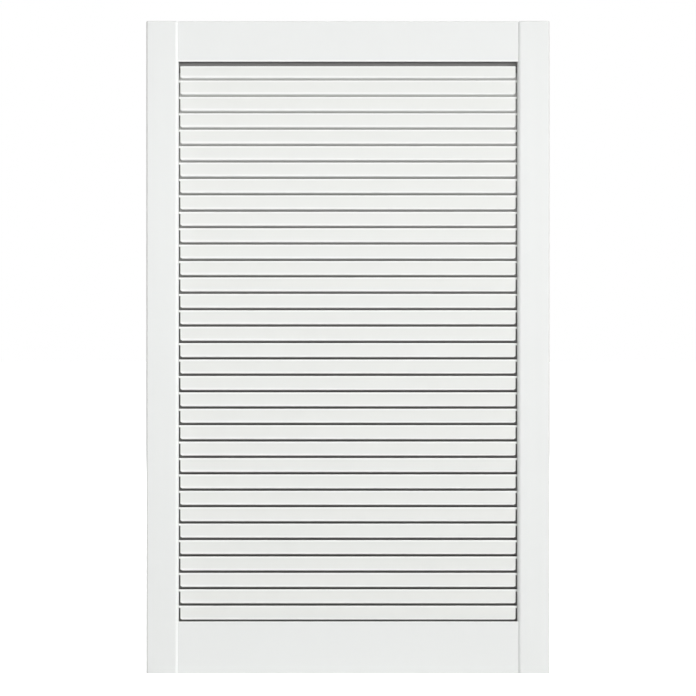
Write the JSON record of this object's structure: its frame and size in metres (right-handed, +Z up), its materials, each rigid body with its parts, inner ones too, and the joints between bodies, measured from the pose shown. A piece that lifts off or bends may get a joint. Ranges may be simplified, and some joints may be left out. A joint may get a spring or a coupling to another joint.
{
  "type": "louvred door leaf",
  "caption": "White lacquered wooden louvred door leaf: two stiles and two rails around a field of closely set, flat-faced fixed slats whose chevron section passes air and blocks the view.",
  "frame": {"origin": "middle of the hinge edge: the outer edge of the left stile, at mid-height and mid-thickness", "axes": "+X across the leaf from the hinge edge, +Z up, the front faces -Y and the back +Y"},
  "size_m": [0.445, 0.021, 0.72],
  "materials": {
    "frame_lacquer": "white satin lacquer",
    "slat_lacquer": "white satin lacquer"
  },
  "bodies": {
    "root": {"left_stile": "frame_lacquer", "right_stile": "frame_lacquer", "top_rail": "frame_lacquer", "bottom_rail": "frame_lacquer", "slat_01": "slat_lacquer", "slat_02": "slat_lacquer", "slat_03": "slat_lacquer", "slat_04": "slat_lacquer", "slat_05": "slat_lacquer", "slat_06": "slat_lacquer", "slat_07": "slat_lacquer", "slat_08": "slat_lacquer", "slat_09": "slat_lacquer", "slat_10": "slat_lacquer", "slat_11": "slat_lacquer", "slat_12": "slat_lacquer", "slat_13": "slat_lacquer", "slat_14": "slat_lacquer", "slat_15": "slat_lacquer", "slat_16": "slat_lacquer", "slat_17": "slat_lacquer", "slat_18": "slat_lacquer", "slat_19": "slat_lacquer", "slat_20": "slat_lacquer", "slat_21": "slat_lacquer", "slat_22": "slat_lacquer", "slat_23": "slat_lacquer", "slat_24": "slat_lacquer", "slat_25": "slat_lacquer", "slat_26": "slat_lacquer", "slat_27": "slat_lacquer", "slat_28": "slat_lacquer", "slat_29": "slat_lacquer", "slat_30": "slat_lacquer", "slat_31": "slat_lacquer", "slat_32": "slat_lacquer", "slat_33": "slat_lacquer", "slat_34": "slat_lacquer"}
  },
  "joints": []
}
